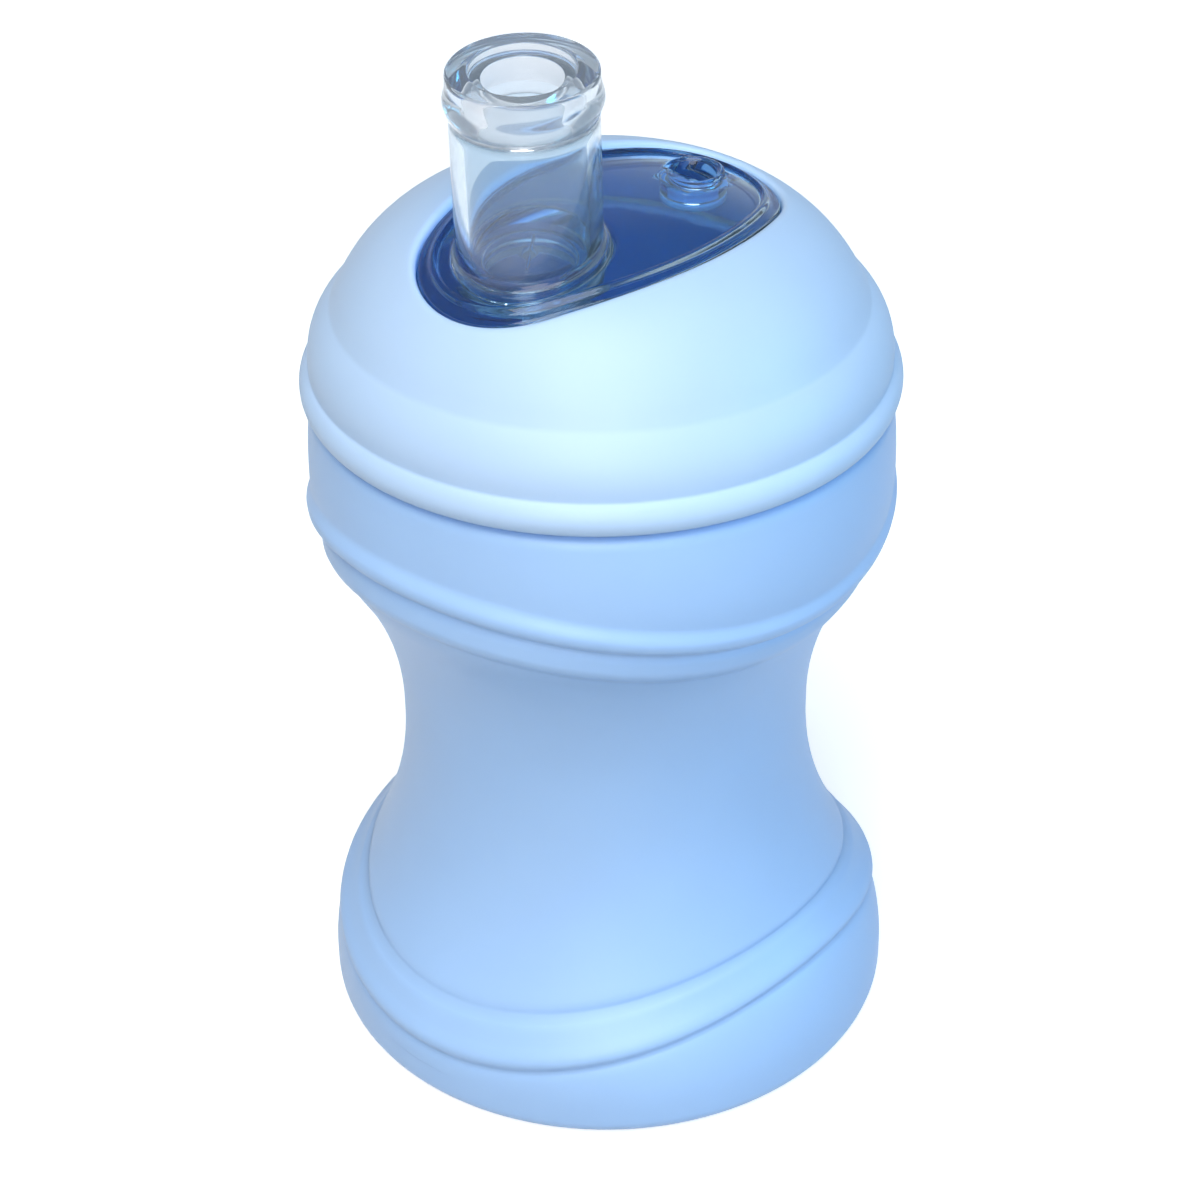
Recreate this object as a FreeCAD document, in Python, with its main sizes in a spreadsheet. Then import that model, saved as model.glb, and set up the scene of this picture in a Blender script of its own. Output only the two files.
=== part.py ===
"""Spill-proof sippy cup: hourglass cup, screw-on dome lid, clear soft spout, two valves and a seal ring.

Millimetres, +Z up. The origin is the centre of the cup's underside, where the cup stands.
The lid's opening is egg-shaped: its long axis and the spout's lean are turned about Z from +X.
"""
import FreeCAD, Part
import math
import os
import re

import Sketcher

# Driving dimensions. Lengths are in millimetres and angles in degrees.
SIZES = {
    # cup, outside
    "foot_radius": 39.85,
    "foot_height": 4.5,
    "foot_curve": 2.4,
    "flare_inset": 3.25,
    "flare_height": 16.5,
    "flare_curve": 24.0,
    "waist_radius": 27.93,
    "waist_height": 47.0,
    "lower_waist_curve": 54.0,
    "upper_waist_curve": 47.5,
    "neckline_inset": 4.05,
    "neckline_drop": 23.6,
    "shoulder_curve": 24.5,
    "shoulder_bulge": 0.75,
    "shoulder_drop": 10.1,
    "shelf_width": 4.25,
    "shelf_height": 95.6,
    "shelf_curve": 68.0,
    # cup, inside
    "cup_wall": 1.8,
    "cup_floor": 2.4,
    "wall_slant": 31.0,
    "roof_curve": 9.5,
    # neck and two-start screw thread
    "neck_radius": 33.5,
    "neck_wall": 2.0,
    "thread_lead": 8.0,
    "thread_starts": 2,
    "thread_turns": 0.5,
    "thread_depth": 1.1,
    "thread_root": 1.8,
    "thread_crest": 1.0,
    "thread_bite": 0.4,
    "thread_gap": 0.3,
    "thread_room": 0.45,
    "thread_run_in": 0.9,
    "thread_run_out": 0.3,
    # seal ring between the neck and the lid
    "seal_thickness": 1.1,
    "seal_gap": 0.1,
    "seal_inset": 0.4,
    # lid
    "parting_gap": 0.5,
    "lid_wall": 2.0,
    "skirt_wall": 2.55,
    "bead_curve": 2.65,
    "band_inset": 0.1,
    "band_drop": 5.4,
    "band_curve": 8.5,
    "crease_inset": 3.2,
    "crease_lift": 2.5,
    "side_curve": 22.2,
    "haunch_inset": 10.4,
    "haunch_drop": 3.6,
    "haunch_curve": 31.4,
    "crown_inset": 10.0,
    "crown_drop": 0.63,
    "dome_lift": 17.2,
    "roof_inset": 0.5,
    "roof_lift": 6.3,
    # egg-shaped opening in the dome
    "opening_turn": 39.4,
    "opening_x": 1.8,
    "opening_y": -2.2,
    "front_room": 1.5,
    "back_room": 5.3,
    "foot_margin": 4.95,
    "vent_end_curve": 13.8,
    "opening_side_curve": 37.0,
    # clear plate that fills the opening, and its flange under the lid
    "insert_gap": 0.2,
    "plate_recess": 0.8,
    "plate_bond": 0.4,
    "flange_gap": 0.3,
    "flange_thickness": 1.3,
    "flange_width": 2.2,
    # spout tube on the plate
    "spout_radius": 9.05,
    "spout_wall": 1.75,
    "spout_length": 23.25,
    "spout_lean": 5.2,
    "spout_lean_turn": 264.0,
    "socket_reach": 1.9,
    "mouth_radius": 4.9,
    "mouth_length": 6.0,
    "mouth_recess_radius": 6.4,
    "mouth_recess_depth": 1.1,
    "rim_round": 0.5,
    "bead_width": 0.6,
    "bead_length": 5.4,
    # vent well in the plate
    "vent_inset": 8.95,
    "vent_across": 2.3,
    "well_radius": 3.2,
    "well_wall": 1.0,
    "well_reach": 1.8,
    # valves
    "valve_gap": 0.05,
    "plug_length": 3.4,
    "plug_wall": 1.2,
    "valve_skin": 1.1,
    "valve_flange": 1.2,
    "slit_length": 7.0,
    "slit_width": 0.3,
    "vent_disc": 1.2,
    "vent_flange": 0.8,
    "vent_bill_radius": 1.5,
    "vent_bill_length": 1.6,
}

# Sizes and places that follow from the driving dimensions, in the order in which they need each other.
DERIVED = {
    "flare_radius": "foot_radius - flare_inset",
    "neckline_height": "shelf_height - neckline_drop",
    "shoulder_height": "shelf_height - shoulder_drop",
    "shelf_radius": "neck_radius + shelf_width",
    "shoulder_radius": "shelf_radius + shoulder_bulge",
    "neckline_radius": "shoulder_radius - neckline_inset",
    "thread_drop": "(thread_root + thread_crest) / 2 + thread_gap",
    "lid_thread_rise": "parting_gap + thread_run_in + thread_root / 2",
    "cup_thread_rise": "lid_thread_rise + thread_drop",
    "neck_rise": "cup_thread_rise + thread_lead * thread_turns + thread_root / 2 + thread_run_out",
    "neck_top": "shelf_height + neck_rise",
    "seat_height": "neck_top + seal_thickness + 2 * seal_gap",
    "skirt_bottom": "shelf_height + parting_gap",
    "lid_bore": "neck_radius + thread_depth + thread_room",
    "skirt_radius": "lid_bore + skirt_wall",
    "band_radius": "skirt_radius - band_inset",
    "crease_radius": "skirt_radius - crease_inset",
    "haunch_radius": "crease_radius - haunch_inset",
    "crown_radius": "haunch_radius - crown_inset",
    "roof_radius": "neck_radius - neck_wall - roof_inset",
    "dome_top": "seat_height + dome_lift",
    "spout_end_curve": "spout_radius + foot_margin",
    "spout_end": "roof_radius - flange_width - front_room - spout_end_curve",
    "vent_end": "roof_radius - flange_width - back_room - vent_end_curve",
    "vent_along": "vent_end + vent_end_curve - vent_inset",
    "vent_x": "opening_x + vent_along * cos(opening_turn) - vent_across * sin(opening_turn)",
    "vent_y": "opening_y + vent_along * sin(opening_turn) + vent_across * cos(opening_turn)",
    "foot_x": "opening_x - spout_end * cos(opening_turn)",
    "foot_y": "opening_y - spout_end * sin(opening_turn)",
    "flange_top": "lid_wall + flange_gap",
    "flange_bottom": "flange_top + flange_thickness",
    "plate_bottom": "flange_top + plate_bond",
    "plate_thickness": "plate_bottom - plate_recess",
    "socket_depth": "flange_bottom - plate_recess + socket_reach",
    "well_depth": "flange_bottom - plate_recess + well_reach",
    "plate_height": "dome_top - crown_drop - plate_recess",
    "bore_radius": "spout_radius - spout_wall",
}

OPENING_FRAME = "placement(vector(opening_x; opening_y; 0); rotation(opening_turn; 0; 0))"
# Sketch x points away from the spout's axis and sketch y along it.
SPOUT_FRAME = "placement(vector(foot_x; foot_y; plate_height); rotation(spout_lean_turn; spout_lean; 90))"
SPOUT_TOP_FRAME = "placement(vector(foot_x; foot_y; plate_height); rotation(spout_lean_turn; spout_lean; 0))"
VENT_FRAME = "placement(vector(vent_x; vent_y; plate_height - well_depth); rotation(0; 0; 0))"
VENT_SIDE_FRAME = "placement(vector(vent_x; vent_y; plate_height - well_depth); rotation(0; 0; 90))"

doc = FreeCAD.newDocument("SippyCup")
sheet = doc.addObject("Spreadsheet::Sheet", "Sizes")
cells = {alias: str(size) for alias, size in SIZES.items()}
cells.update({alias: "=" + expression for alias, expression in DERIVED.items()})
for row, (alias, content) in enumerate(cells.items(), start=1):
    sheet.set(f"A{row}", alias)
    sheet.setAlias(f"B{row}", alias)
    sheet.set(f"B{row}", content)
doc.recompute()


def tied(expression):
    """The expression with each size's name pointed at its cell."""
    return re.sub(r"[a-z]\w*", lambda word: "Sizes." + word[0] if word[0] in cells else word[0], expression)


def size_of(expression):
    """The number that an expression on the sheet gives now."""
    return float(sheet.evalExpression(tied(expression)))


def new_body(label):
    body = doc.addObject("PartDesign::Body", label)
    body.Label = label
    body.Placement = FreeCAD.Placement()
    return body


def origin_feature(body, role):
    return next(feature for feature in body.Origin.OriginFeatures if feature.Role == role)


def new_sketch(body, name, plane="XZ_Plane", frame=None):
    """A sketch on one of the body's own planes, moved by the frame expression if there is one."""
    sketch = body.newObject("Sketcher::SketchObject", name)
    sketch.AttachmentSupport = [(origin_feature(body, plane), "")]
    sketch.MapMode = "FlatFace"
    if frame:
        sketch.setExpression("AttachmentOffset", tied(frame))
    return sketch


def bind(sketch, expression, kind, *where):
    """Add a constraint whose value follows the sheet."""
    index = sketch.addConstraint(Sketcher.Constraint(kind, *where, size_of(expression)))
    name = f"{kind}{index}"
    sketch.renameConstraint(index, name)
    sketch.setExpression(f"Constraints.{name}", tied(expression))


def arc_between(start, end, radius, hollow):
    """The short arc from start to end, with its centre on the left of that way, or on the right if hollow."""
    chord = end - start
    rise = math.sqrt(radius ** 2 - (chord.Length / 2) ** 2)
    left = FreeCAD.Vector(-chord.y, chord.x, 0).normalize()
    centre = (start + end) * 0.5 + left * (-rise if hollow else rise)
    first, last = (end, start) if hollow else (start, end)
    circle = Part.Circle(centre, FreeCAD.Vector(0, 0, 1), radius)
    return Part.ArcOfCircle(circle, circle.parameter(first), circle.parameter(last))


def draw_outline(sketch, corners):
    """A closed outline of corners (x, y), or (x, y, curve) where the side that leaves the corner is an arc.

    A minus sign before the curve bends the side hollow, and a centred arc has its centre on the axis.
    """
    points = [FreeCAD.Vector(size_of(corner[0]), size_of(corner[1]), 0) for corner in corners]
    sides = []
    for start, end, corner in zip(points, points[1:] + points[:1], corners):
        if len(corner) == 2:
            sides.append((sketch.addGeometry(Part.LineSegment(start, end)), 1, 2))
            continue
        curve, hollow = corner[2].lstrip("-"), corner[2].startswith("-")
        chord = end - start
        radius = chord.Length ** 2 / (2 * abs(chord.y)) if curve == "centred" else size_of(curve)
        edge = sketch.addGeometry(arc_between(start, end, radius, hollow))
        sides.append((edge, 2, 1) if hollow else (edge, 1, 2))
        if curve == "centred":
            sketch.addConstraint(Sketcher.Constraint("PointOnObject", edge, 3, -2))
        else:
            bind(sketch, curve, "Radius", edge)
    for (edge, first, last), following, corner in zip(sides, sides[1:] + sides[:1], corners):
        sketch.addConstraint(Sketcher.Constraint("Coincident", edge, last, following[0], following[1]))
        for kind, axis, expression in (("DistanceX", -2, corner[0]), ("DistanceY", -1, corner[1])):
            if expression == "0":
                sketch.addConstraint(Sketcher.Constraint("PointOnObject", edge, first, axis))
            else:
                bind(sketch, expression, kind, -1, 1, edge, first)


def draw_egg(sketch, inset):
    """The opening's outline, moved inwards by inset: two end arcs joined by two long side arcs."""
    spout = FreeCAD.Vector(-size_of("spout_end"), 0, 0)
    vent = FreeCAD.Vector(size_of("vent_end"), 0, 0)
    to_spout = size_of("opening_side_curve - spout_end_curve")
    to_vent = size_of("opening_side_curve - vent_end_curve")
    along = (to_spout ** 2 - to_vent ** 2 + vent.x ** 2 - spout.x ** 2) / (2 * (vent.x - spout.x))
    across = math.sqrt(to_spout ** 2 - (along - spout.x) ** 2)
    low = FreeCAD.Vector(along, -across, 0)
    high = FreeCAD.Vector(along, across, 0)

    def joint(side, end):
        return side + (end - side).normalize() * size_of(f"opening_side_curve - ({inset})")

    # each long side's centre lies across the axis from it
    runs = [
        ("vent_end_curve", vent, joint(high, vent), joint(low, vent)),
        ("opening_side_curve", low, joint(low, vent), joint(low, spout)),
        ("spout_end_curve", spout, joint(low, spout), joint(high, spout)),
        ("opening_side_curve", high, joint(high, spout), joint(high, vent)),
    ]
    edges = []
    for curve, centre, first, last in runs:
        circle = Part.Circle(centre, FreeCAD.Vector(0, 0, 1), size_of(f"{curve} - ({inset})"))
        arc = Part.ArcOfCircle(circle, circle.parameter(first), circle.parameter(last))
        edges.append(sketch.addGeometry(arc))
    for (curve, *_), edge, following in zip(runs, edges, edges[1:] + edges[:1]):
        sketch.addConstraint(Sketcher.Constraint("Tangent", edge, 2, following, 1))
        bind(sketch, f"{curve} - ({inset})", "Radius", edge)
    for edge in (edges[0], edges[2]):
        sketch.addConstraint(Sketcher.Constraint("PointOnObject", edge, 3, -1))
    bind(sketch, "vent_end", "DistanceX", -1, 1, edges[0], 3)
    bind(sketch, "spout_end", "DistanceX", edges[2], 3, -1, 1)


def draw_circle(sketch, radius):
    circle = Part.Circle(FreeCAD.Vector(0, 0, 0), FreeCAD.Vector(0, 0, 1), size_of(radius))
    edge = sketch.addGeometry(circle)
    sketch.addConstraint(Sketcher.Constraint("Coincident", edge, 3, -1, 1))
    bind(sketch, radius, "Radius", edge)


def revolve(body, name, sketch):
    """Turn the sketch a full round about its own vertical axis."""
    turned = body.newObject("PartDesign::Revolution", name)
    turned.Profile = sketch
    turned.ReferenceAxis = (sketch, ["V_Axis"])
    turned.Angle = 360
    return turned


def pocket_up(body, name, sketch):
    """Cut the sketch away through everything above it."""
    before = body.Shape.Volume
    pocket = body.newObject("PartDesign::Pocket", name)
    pocket.Profile = sketch
    pocket.Type = "ThroughAll"
    pocket.Reversed = True
    doc.recompute()
    if pocket.Shape.isNull() or pocket.Shape.Volume >= before:
        raise RuntimeError(f"{name} cuts nothing")
    return pocket


def add_thread(body, name, root_radius, crest_radius, height):
    """Two helical ridges that start at the given height and stand between the two radii."""
    sketch = new_sketch(body, f"{name}_section")
    outward = size_of(f"{crest_radius} - ({root_radius})") > 0
    root = f"{root_radius} {'-' if outward else '+'} thread_bite"
    section = [
        (root, f"{height} - thread_root / 2"),
        (crest_radius, f"{height} - thread_crest / 2"),
        (crest_radius, f"{height} + thread_crest / 2"),
        (root, f"{height} + thread_root / 2"),
    ]
    draw_outline(sketch, section)
    ridge = body.newObject("PartDesign::AdditiveHelix", name)
    ridge.Profile = sketch
    ridge.ReferenceAxis = (sketch, ["V_Axis"])
    ridge.Mode = "pitch-turns-angle"
    ridge.setExpression("Pitch", tied("thread_lead"))
    ridge.setExpression("Turns", tied("thread_turns"))
    doc.recompute()
    starts = body.newObject("PartDesign::PolarPattern", f"{name}_starts")
    starts.Originals = [ridge]
    starts.Axis = (origin_feature(body, "Z_Axis"), [""])
    starts.Angle = 360
    starts.setExpression("Occurrences", tied("thread_starts"))
    body.Tip = starts
    doc.recompute()


def dome_arc(depth):
    """The dome's curve from its crown out to the crease, lowered by depth."""
    top = f"dome_top - ({depth})"
    return [
        ("0", top, "-centred"),
        ("crown_radius", f"{top} - crown_drop", "-haunch_curve"),
        ("haunch_radius", f"{top} - haunch_drop", "-side_curve"),
        ("crease_radius", f"seat_height + crease_lift - ({depth})"),
    ]


def turned_back(corners):
    """The same run of corners drawn the other way."""
    curves = [corner[2] for corner in corners[:-1]]
    bends = ["-" + curve if not curve.startswith("-") else curve[1:] for curve in reversed(curves)]
    places = [corner[:2] for corner in reversed(corners)]
    return [place + (bend,) for place, bend in zip(places, bends)] + [places[-1]]


def make_cup_body():
    """Hourglass cup with one even wall, a narrow neck and the male thread."""
    body = new_body("cup_body")
    inner_flare = ("flare_radius - cup_wall * cos(wall_slant)", "flare_height + cup_wall * sin(wall_slant)")
    inner_neckline = (
        "neckline_radius - cup_wall * cos(wall_slant)",
        "neckline_height - cup_wall * sin(wall_slant)",
    )
    outside = [
        ("0", "0"),
        ("foot_radius - foot_curve", "0", "foot_curve"),
        ("foot_radius", "foot_curve"),
        ("foot_radius", "foot_height", "flare_curve"),
        ("flare_radius", "flare_height", "-lower_waist_curve"),
        ("waist_radius", "waist_height", "-upper_waist_curve"),
        ("neckline_radius", "neckline_height", "shoulder_curve"),
        ("shoulder_radius", "shoulder_height", "shelf_curve"),
        ("shelf_radius", "shelf_height"),
        ("neck_radius", "shelf_height"),
        ("neck_radius", "neck_top"),
        ("neck_radius - neck_wall", "neck_top"),
    ]
    inside = [
        ("neck_radius - neck_wall", "shelf_height - neck_wall", "-roof_curve"),
        ("shoulder_radius - cup_wall", "shoulder_height", "-(shoulder_curve - cup_wall)"),
        inner_neckline + ("upper_waist_curve + cup_wall",),
        ("waist_radius - cup_wall", "waist_height", "lower_waist_curve + cup_wall"),
        inner_flare + ("-(flare_curve - cup_wall)",),
        ("foot_radius - cup_wall", "foot_height", "-foot_curve"),
        ("foot_radius - foot_curve", "cup_floor"),
        ("0", "cup_floor"),
    ]
    sketch = new_sketch(body, "cup_section")
    draw_outline(sketch, outside + inside)
    revolve(body, "cup_wall_turned", sketch)
    doc.recompute()
    add_thread(body, "cup_thread", "neck_radius", "neck_radius + thread_depth", "shelf_height + cup_thread_rise")
    return body


def make_screw_lid():
    """Dome lid with a rolled bead, an egg-shaped opening and the female thread."""
    body = new_body("screw_lid")
    section = [
        ("lid_bore", "skirt_bottom"),
        ("skirt_radius", "skirt_bottom", "bead_curve"),
        ("band_radius", "seat_height - band_drop", "band_curve"),
        *turned_back(dome_arc("0")),
        *dome_arc("lid_wall")[:3],
        ("roof_radius", "seat_height + roof_lift"),
        ("roof_radius", "seat_height"),
        ("lid_bore", "seat_height"),
    ]
    sketch = new_sketch(body, "lid_section")
    draw_outline(sketch, section)
    revolve(body, "lid_wall_turned", sketch)
    doc.recompute()
    opening = new_sketch(body, "opening_outline", "XY_Plane", OPENING_FRAME)
    draw_egg(opening, "0")
    pocket_up(body, "spout_opening", opening)
    add_thread(body, "lid_thread", "lid_bore", "lid_bore - thread_depth", "shelf_height + lid_thread_rise")
    return body


def make_seal_ring():
    """Flat silicone ring that the lid presses on the neck."""
    body = new_body("lid_seal_ring")
    inner = "neck_radius - neck_wall + seal_inset"
    outer = "lid_bore - seal_inset"
    bottom = "neck_top + seal_gap"
    top = "neck_top + seal_gap + seal_thickness"
    sketch = new_sketch(body, "seal_section")
    draw_outline(sketch, [(inner, bottom), (outer, bottom), (outer, top), (inner, top)])
    revolve(body, "seal_turned", sketch)
    return body


def add_egg_layer(body, name, top_depth, bottom_depth, inset):
    """A layer of the dome between two depths, trimmed to the egg outline."""
    section = new_sketch(body, f"{name}_section")
    draw_outline(section, dome_arc(bottom_depth) + turned_back(dome_arc(top_depth)))
    revolve(body, f"{name}_turned", section)
    doc.recompute()
    trim = new_sketch(body, f"{name}_trim", "XY_Plane", OPENING_FRAME)
    draw_circle(trim, "foot_radius * 2")
    draw_egg(trim, inset)
    pocket_up(body, f"{name}_trimmed", trim)


def make_soft_spout():
    """Clear silicone plate that fills the opening, with the drinking spout and the vent well on it."""
    body = new_body("soft_spout")
    add_egg_layer(body, "plate", "plate_recess", "plate_bottom", "insert_gap")
    add_egg_layer(body, "flange", "flange_top", "flange_bottom", "-flange_width")

    tube = new_sketch(body, "tube_section", "XY_Plane", SPOUT_FRAME)
    bead_bottom = "spout_length - bead_length"
    outline = [
        ("0", "-socket_depth"),
        ("spout_radius", "-socket_depth"),
        ("spout_radius", bead_bottom),
        ("spout_radius + bead_width", "spout_length - bead_length / 2"),
        ("spout_radius", "spout_length - rim_round", "rim_round"),
        ("spout_radius - rim_round", "spout_length"),
        ("0", "spout_length"),
    ]
    draw_outline(tube, outline)
    revolve(body, "tube_turned", tube)
    doc.recompute()

    bore = new_sketch(body, "bore_section", "XY_Plane", SPOUT_FRAME)
    mouth_bottom = "spout_length - mouth_length"
    hollow = [
        ("0", "-socket_depth * 2"),
        ("bore_radius", "-socket_depth * 2"),
        ("bore_radius", f"{mouth_bottom} - rim_round"),
        ("mouth_radius", mouth_bottom),
        ("mouth_radius", "spout_length - mouth_recess_depth"),
        ("mouth_recess_radius", "spout_length - mouth_recess_depth"),
        ("mouth_recess_radius", "spout_length + rim_round"),
        ("0", "spout_length + rim_round"),
    ]
    draw_outline(bore, hollow)
    before = body.Shape.Volume
    groove = body.newObject("PartDesign::Groove", "bore_cut")
    groove.Profile = bore
    groove.ReferenceAxis = (bore, ["V_Axis"])
    groove.Angle = 360
    doc.recompute()
    if groove.Shape.Volume >= before:
        raise RuntimeError("bore_cut cuts nothing")

    wall = new_sketch(body, "well_outline", "XY_Plane", VENT_FRAME)
    draw_circle(wall, "well_radius + well_wall")
    pad = body.newObject("PartDesign::Pad", "well_wall_pad")
    pad.Profile = wall
    pad.setExpression("Length", tied("well_depth - plate_thickness / 2"))
    doc.recompute()
    hole = new_sketch(body, "well_hole_outline", "XY_Plane", VENT_FRAME)
    draw_circle(hole, "well_radius")
    pocket_up(body, "well_hole", hole)
    return body


def make_spout_valve():
    """Slit valve: a cup-shaped silicone plug pushed up into the foot of the spout."""
    body = new_body("spout_valve")
    seat = "-socket_depth - valve_gap"
    plug_radius = "bore_radius - valve_gap"
    plug_bore = f"{plug_radius} - plug_wall"
    section = [
        (plug_bore, f"{seat} - valve_flange"),
        ("spout_radius", f"{seat} - valve_flange"),
        ("spout_radius", seat),
        (plug_radius, seat),
        (plug_radius, f"{seat} + plug_length"),
        ("0", f"{seat} + plug_length"),
        ("0", f"{seat} + plug_length - valve_skin"),
        (plug_bore, f"{seat} + plug_length - valve_skin"),
    ]
    sketch = new_sketch(body, "plug_section", "XY_Plane", SPOUT_FRAME)
    draw_outline(sketch, section)
    revolve(body, "plug_turned", sketch)
    doc.recompute()
    slit = new_sketch(body, "slit_outline", "XY_Plane", SPOUT_TOP_FRAME)
    half_long = size_of("slit_length / 2")
    half_wide = size_of("slit_width / 2")
    corners = [FreeCAD.Vector(x, y, 0) for x, y in (
        (-half_long, -half_wide), (half_long, -half_wide), (half_long, half_wide), (-half_long, half_wide))]
    for start, end in zip(corners, corners[1:] + corners[:1]):
        slit.addGeometry(Part.LineSegment(start, end))
    for edge in range(4):
        slit.addConstraint(Sketcher.Constraint("Coincident", edge, 2, (edge + 1) % 4, 1))
    for edge, kind in ((0, "Horizontal"), (1, "Vertical"), (2, "Horizontal"), (3, "Vertical")):
        slit.addConstraint(Sketcher.Constraint(kind, edge))
    slit.addConstraint(Sketcher.Constraint("Symmetric", 0, 1, 1, 2, -1, 1))
    bind(slit, "slit_length", "DistanceX", 0, 1, 0, 2)
    bind(slit, "slit_width", "DistanceY", 1, 1, 1, 2)
    before = body.Shape.Volume
    cut = body.newObject("PartDesign::Pocket", "slit_cut")
    cut.Profile = slit
    cut.Type = "ThroughAll"
    cut.Midplane = True
    doc.recompute()
    if cut.Shape.Volume >= before:
        raise RuntimeError("slit_cut cuts nothing")
    return body


def make_vent_valve():
    """Small silicone disc in the foot of the vent well, with a soft bill that lets air in."""
    body = new_body("vent_valve")
    disc_radius = "well_radius - valve_gap"
    section = [
        ("0", "-vent_flange - valve_gap"),
        ("well_radius + well_wall", "-vent_flange - valve_gap"),
        ("well_radius + well_wall", "-valve_gap"),
        (disc_radius, "-valve_gap"),
        (disc_radius, "vent_disc"),
        ("vent_bill_radius", "vent_disc"),
        ("vent_bill_radius / 2", "vent_disc + vent_bill_length"),
        ("0", "vent_disc + vent_bill_length"),
    ]
    sketch = new_sketch(body, "vent_section", "XY_Plane", VENT_SIDE_FRAME)
    draw_outline(sketch, section)
    revolve(body, "vent_turned", sketch)
    return body


def main():
    bodies = [
        make_cup_body(),
        make_screw_lid(),
        make_seal_ring(),
        make_soft_spout(),
        make_spout_valve(),
        make_vent_valve(),
    ]
    doc.recompute()
    for item in doc.Objects:
        if "Invalid" in item.State or "Error" in item.State:
            raise RuntimeError(f"{item.Name} is {item.State}")
    for body in bodies:
        if body.Shape.isNull() or not body.Shape.isValid():
            raise RuntimeError(f"{body.Label} has no valid shape")
    os.makedirs("parts", exist_ok=True)
    for body in bodies:
        body.Shape.exportStep(f"parts/{body.Label}.step")
        box = body.Shape.BoundBox
        print(body.Label, "solids", len(body.Shape.Solids), f"volume {body.Shape.Volume:.0f}",
              f"z {box.ZMin:.2f} to {box.ZMax:.2f}, x {box.XMin:.2f} to {box.XMax:.2f}")


main()
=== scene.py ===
import math

import bmesh
import bpy
from mathutils import Matrix, Vector


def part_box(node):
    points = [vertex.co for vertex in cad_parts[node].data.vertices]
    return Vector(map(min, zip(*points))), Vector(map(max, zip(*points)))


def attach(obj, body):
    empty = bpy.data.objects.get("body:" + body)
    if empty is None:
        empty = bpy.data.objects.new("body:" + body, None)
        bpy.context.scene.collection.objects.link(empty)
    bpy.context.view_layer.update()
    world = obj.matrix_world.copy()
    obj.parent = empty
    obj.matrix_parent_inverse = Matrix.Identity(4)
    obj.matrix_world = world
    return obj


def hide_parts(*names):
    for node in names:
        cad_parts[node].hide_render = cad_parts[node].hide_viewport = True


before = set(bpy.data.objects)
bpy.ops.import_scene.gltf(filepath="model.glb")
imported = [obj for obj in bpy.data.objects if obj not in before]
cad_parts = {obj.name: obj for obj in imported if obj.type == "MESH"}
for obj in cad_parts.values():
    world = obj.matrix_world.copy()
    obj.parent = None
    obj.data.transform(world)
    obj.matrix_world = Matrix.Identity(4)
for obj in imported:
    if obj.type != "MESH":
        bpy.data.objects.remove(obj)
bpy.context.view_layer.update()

bl_info = {
    "name": "Sippy Cup",
    "version": (1, 0, 0),
    "blender": (4, 5, 0),
    "location": "View3D > Sidebar > Sippy Cup",
    "description": "Builds a spill-proof sippy cup: waved hourglass cup, dome lid and clear soft spout",
    "category": "Add Mesh",
}

MM = 0.001
FULL_TURN = 2 * math.pi
# Points round each shell, and round the small turned pieces.
SEGMENTS = 240
SMALL_SEGMENTS = 96
# Points nearer than this, in mm, are merged; the second is for after a join or a cut.
MERGE = 0.001
CUT_MERGE = 0.0005

# The cup's waist, its shelf under the lid and its neck, in mm.
WAIST_HEIGHT = 47.0
SHELF_HEIGHT = 95.6
NECK_TOP = 104.8
NECK_RADIUS = 33.5
NECK_BORE = 31.5
# The outline up the wall: radius, height and the curve of the side above, hollow if negative.
CUP_OUTLINE = [
    (39.85, 4.5, 24.0),
    (36.6, 16.5, -54.0),
    (27.93, WAIST_HEIGHT, -47.5),
    (34.45, 72.0, 24.5),
    (38.5, 85.5, 68.0),
    (37.75, SHELF_HEIGHT, 0.0),
]
# How the ribs run round the wall, by mean height: how far they rise and fall, and how proud they stand.
WAVES = [
    (4.5, 0.0), (10.3, -4.2), (12.5, -4.2), (14.6, -3.9), (16.0, -3.8), (17.2, -3.6), (18.6, -3.2),
    (19.3, -3.1), (21.6, -2.7), (26.0, -1.5), (36.0, -0.4), (47.0, 0.0), (56.0, 0.4), (66.0, 1.9),
    (72.5, 3.4), (84.5, 3.4), (94.0, 0.0), (95.6, 0.0),
]
RELIEF = [
    (4.5, 0.0), (10.3, 0.0), (11.8, -0.05), (12.4, -0.35), (12.9, 0.0), (13.5, 0.6), (14.2, 1.05),
    (15.0, 1.1), (16.0, 0.6), (17.2, 0.28), (18.2, 0.14), (18.7, -0.2), (19.1, -0.95), (19.5, -0.5),
    (20.1, -0.1), (21.2, 0.0),
    (26.0, 0.0), (47.0, 0.0), (73.2, 0.0), (73.7, 0.28), (74.4, 0.7), (75.4, 0.75), (76.6, 0.42),
    (77.5, 0.15), (78.1, -0.15), (78.6, -0.55), (79.1, -0.1), (79.7, 0.55), (80.6, 0.95), (81.5, 0.9),
    (82.5, 0.38), (83.4, 0.0), (95.6, 0.0),
]
# The rib height and the upper wave that these tables are drawn for.
DRAWN_RIB = 0.95
DRAWN_WAVE = 3.4
WAVE_TURN = math.radians(48)

# Both threads have two starts of half a turn; the sections of their ridges are (radius, height).
THREAD_TURNS = 0.5
THREAD_LEAD = 8.0
CUP_RIDGE = [(33.1, 98.7), (34.6, 99.1), (34.6, 100.1), (33.1, 100.5)]
LID_RIDGE = [(35.45, 97.0), (33.95, 97.4), (33.95, 98.4), (35.45, 98.8)]

# The dome's rise with radius is one even curve: centre height, rise, reach and power.
DOME = (81.3, 42.0, 38.0, 3.09)
LID_WALL = 2.0
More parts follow.
